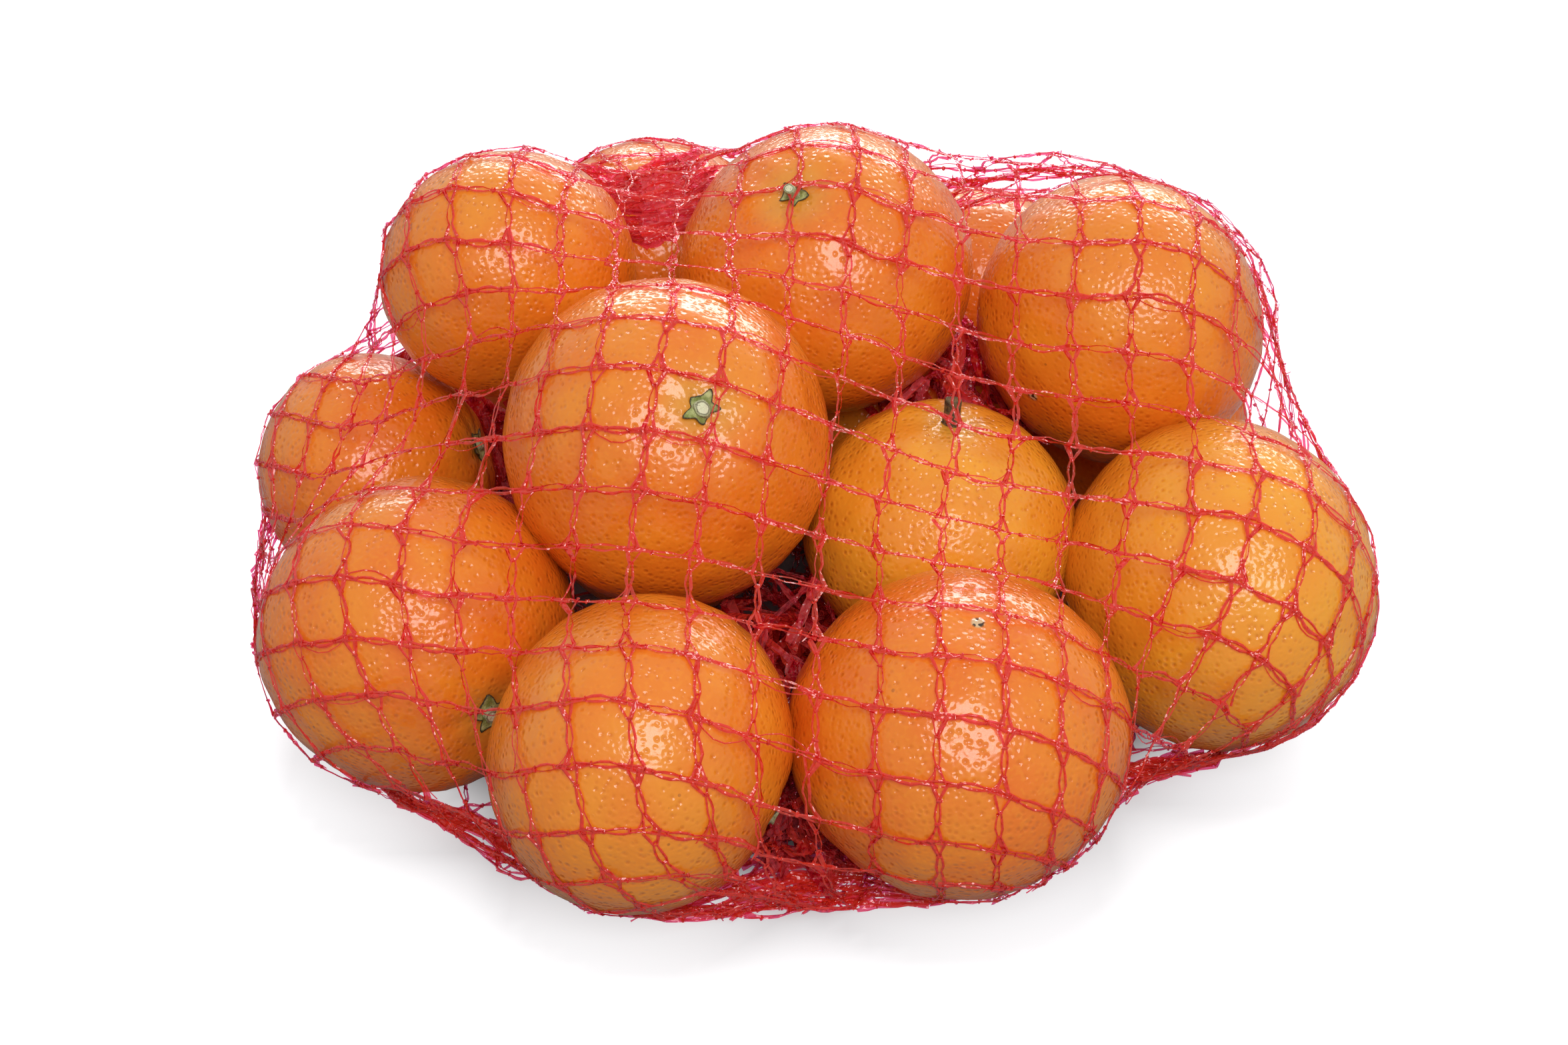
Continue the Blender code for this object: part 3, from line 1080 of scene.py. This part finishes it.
def bunchedPath():
    # a line on the table round the outside of the feet, moved in between one foot and the next
    # and smoothed. Returns the line, its side directions and half the band's width
    feet = np.array([mandarins[name]["centre"][:2] for name in bunched["feet"]])
    line = []
    for number in range(len(feet) - 1):
        gone = feet[number + 1] - feet[number]
        out = np.array([gone[1], -gone[0]]) / np.linalg.norm(gone)
        for share in np.linspace(*bunched["stretch"]):
            gap = math.sin(math.pi * share) ** 2
            place = feet[number] + gone * share + out * (bunched["reach"] - gap * bunched["dips"][number])
            half = bunched["footWidth"] + gap * (bunched["gapWidths"][number] - bunched["footWidth"])
            line.append((*place, half))
    line = np.array(line)
    gone = np.linalg.norm(np.diff(line[:, :2], axis=0, prepend=line[:1, :2]), axis=1).cumsum()
    even = np.linspace(0, gone[-1], bunched["finer"] * bunched["meshes"][0])
    line = np.stack([np.interp(even, gone, column) for column in line.T], axis=1)
    soft = np.hanning(bunched["smoothing"])
    padded = np.pad(line, ((len(soft) // 2,) * 2, (0, 0)), mode="edge")
    line = np.stack([np.convolve(column, soft / soft.sum(), mode="valid") for column in padded.T], axis=1)
    ahead = unit(np.gradient(line[:, :2], axis=0))
    return line[:, :2], np.stack([ahead[:, 1], -ahead[:, 0]], axis=1), line[:, 2]


def bunchedTapes():
    # meshes across a band along that line, higher at its inner edge
    chance = np.random.default_rng(bunched["seed"])
    long, wide = bunched["meshes"]
    line, out, halves = bunchedPath()
    row, place = latticePlaces(long + 1, wide)
    across = place / (wide - 0.5) * 2 - 1
    at = (row / long * (len(line) - 1)).astype(int)[:, 0]
    half = halves[at][:, None]
    flat = line[at][:, None] + out[at][:, None] * (across * half)[..., None]
    height = np.interp(-across, (-1, 1), bunched["lift"]) * np.minimum(half / bunched["fullLift"], 1)
    points = np.concatenate([flat, height[..., None]], axis=-1).reshape(-1, 3)
    points += chance.normal(0, 1, points.shape) * bunched["jitter"]
    return foldTapes(points, long, wide, bunched["floor"], chance, pressedLie)


def makeNet():
    # the draped tube, cut into pieces by row, then the folded parts
    points, groups, slants = drapeNet()
    print("net draped")
    sides, slant = joinSides(groups, slants)
    material = makeFilmMaterial()
    row = sides[:, 0] // net["around"]
    firsts = list(net["pieces"].values())
    for number, (name, first, last) in enumerate(zip(net["pieces"], firsts, firsts[1:] + [net["rows"]])):
        chance = np.random.default_rng(net["firstSeed"] + number)
        mine = (row >= first) & (row < last)
        makeTapePiece(name, material, tapesBetween(points, sides[mine], slant[mine], chance, openLie))
    # film pressed together passes its light on from layer to layer, so it doesn't darken itself
    makeTapePiece("netTuckedIn", material, tuckedTapes(), shadow=False)
    makeTapePiece("netInside", material, crumpledTapes())
    makeTapePiece("netOnTable", material, bunchedTapes(), shadow=False)


makeNet()
print("net made")


# Floor, light and camera.

studio = dict(
    floorSize=6.0,  # metres, like every length of the lamps and the camera
    fineSize=0.5,  # the part of the floor with fine cells
    fineCells=121,
    floorColour=(0.22, 0.235, 0.245),
    floorRoughness=0.7,
    glowColour=(1.0, 0.99, 1.0),
    glowSeen=1.0,  # how the floor looks
    glowOnFruit=0.06,  # what it lights the fruit with
    # the floor's glow has shade painted into it: dimmer where the fruit cover the floor, dark inside the
    # feet
    mostCovered=0.4,  # by one fruit
    darkest=0.25,  # openness at which the glow starts, and how much more makes it full
    growing=0.3,
    edge=(-14, 18),  # millimetres out from the line of the feet: where the glow starts, and how
    # much farther on it is full
    # painted shade: the back feet count as farther out, so that the floor seen through the gaps stays dark
    behindFrom=60,  # feet farther back than this, in millimetres,
    behind=1.25,  # count as this much farther out
    outerFeet=("left", "frontLeft", "front", "frontRight", "right", "underRight", "backRight",
               "backMiddle", "backLeft"),
    worldStrength=(0.44, 0.70),  # towards the front and towards the back
    # each lamp: heading and climb from the middle, distance, width, height and power
    lamps={
        "key": (-78.0, 43.0, 2.0, 1.45, 1.10, 25.5),
        "back": (80.0, 28.0, 1.5, 1.70, 0.45, 15.0),
    },
)

view = dict(
    target=(-0.004, -0.036, 0.050),
    climb=31.0,
    distance=0.600,
    lens=66.1,
)


def pointAt(thing, target):
    # a lamp or the camera looks down its own -Z
    way = Vector(target) - thing.location
    thing.rotation_euler = way.to_track_quat("-Z", "Y").to_euler()


def floorGlowWithPaintedShade(x, y):
    # Painted shade on the glowing floor. How open a place on the floor is: each fruit covers (radius /
    # distance) squared times the cosine of its height, but never more than a part, and what is left
    # multiplies; inside the line through the outer feet it is painted dark. Returns the glow there as a
    # part of the full one, with this painted shade in it.
    openness = np.ones_like(x)
    for one in mandarins.values():
        middle = one["centre"] * millimetre
        away = (x - middle[0]) ** 2 + (y - middle[1]) ** 2 + middle[2] ** 2
        covered = (one["size"] / 2 * millimetre) ** 2 * middle[2] / away ** 1.5
        openness *= 1 - np.minimum(covered, studio["mostCovered"])
    feet = np.array([mandarins[name]["centre"][:2] for name in studio["outerFeet"]])
    feet[feet[:, 1] > studio["behindFrom"]] *= studio["behind"]
    beyond = np.full_like(x, -np.inf)
    for here, there in zip(feet, np.roll(feet, -1, axis=0)):
        gone = (there - here) / np.linalg.norm(there - here)
        out = (x / millimetre - here[0]) * gone[1] - (y / millimetre - here[1]) * gone[0]
        beyond = np.maximum(beyond, out)
    start, over = studio["edge"]
    outside = np.clip((beyond - start) / over, 0, 1)
    return np.clip((openness - studio["darkest"]) / studio["growing"], 0, 1) ** 0.5 * outside


def makeFloor():
    # a plane with fine cells round the heap, whose points hold the glow with its painted shade
    half = studio["floorSize"] / 2
    near = np.linspace(-studio["fineSize"] / 2, studio["fineSize"] / 2, studio["fineCells"])
    line = np.concatenate([[-half, -half / 5], near, [half / 5, half]])
    x, y = np.meshgrid(line, line)
    points = np.stack([x, y, 0 * x], axis=-1).reshape(-1, 3)
    count = len(line)
    first = (np.arange(count - 1)[:, None] * count + np.arange(count - 1)[None, :]).reshape(-1, 1)
    mesh = bpy.data.meshes.new("floor")
    mesh.from_pydata(points.tolist(), [], (first + np.array([0, 1, count + 1, count])).tolist())
    glowWithPaintedShade = floorGlowWithPaintedShade(x, y).ravel().astype(np.float32)
    mesh.attributes.new("glowWithPaintedShade", "FLOAT", "POINT").data.foreach_set("value", glowWithPaintedShade)
    material, tree, shader = startMaterial("floorWhite")
    material.cycles.emission_sampling = "NONE"
    seen = addNode(tree, "LightPath").outputs["Is Camera Ray"]
    strength = spread(tree, seen, 0.0, 1.0, studio["glowOnFruit"], studio["glowSeen"], "LINEAR")
    fillNode(tree, shader, {
        "Base Color": (*studio["floorColour"], 1.0),
        "Roughness": studio["floorRoughness"],
        "Emission Color": (*studio["glowColour"], 1.0),
        "Emission Strength": mathNode(tree, "MULTIPLY", strength, pointValue(tree, "glowWithPaintedShade")),
    })
    mesh.materials.append(material)
    floor = addObject("floor", mesh)


def makeLight():
    # a white room, brighter behind, and soft round lamps that stand off from the heap
    world = bpy.data.worlds.new("studio")
    world.use_nodes = True
    world.cycles.sampling_method = "NONE"
    tree = world.node_tree
    # the room's light grows in a straight line from the front to the back
    way = addNode(tree, "TexCoord").outputs["Generated"]
    back = addNode(tree, "SeparateXYZ", {"Vector": way}).outputs["Y"]
    strength = spread(tree, back, -1.0, 1.0, *studio["worldStrength"], "LINEAR")
    fillNode(tree, tree.nodes["Background"], {"Color": (1.0, 1.0, 1.0, 1.0), "Strength": strength})
    bpy.context.scene.world = world
    for name, (heading, climb, distance, wide, high, power) in studio["lamps"].items():
        light = bpy.data.lights.new(name, "AREA")
        light.shape = "ELLIPSE"
        light.size = wide
        light.size_y = high
        light.energy = power
        lamp = addObject(name, light)
        lamp.location = Vector(view["target"]) + Vector(stemFrame(heading, climb)[:, 2]) * distance
        pointAt(lamp, view["target"])
    bpy.context.scene.view_settings.view_transform = "Standard"


def makeCamera():
    # straight in front, back from the target along a line at the given climb
    data = bpy.data.cameras.new("camera")
    data.lens = view["lens"]
    data.sensor_width = 36.0
    data.clip_start = 0.01
    camera = addObject("camera", data)
    climb = math.radians(view["climb"])
    back = Vector((0, -math.cos(climb), math.sin(climb)))
    camera.location = Vector(view["target"]) + back * view["distance"]
    pointAt(camera, view["target"])
    bpy.context.scene.camera = camera
    bpy.context.scene.cycles.max_bounces = 5
    bpy.context.scene.cycles.diffuse_bounces = 3


makeFloor()
makeLight()
makeCamera()
print("studio made")
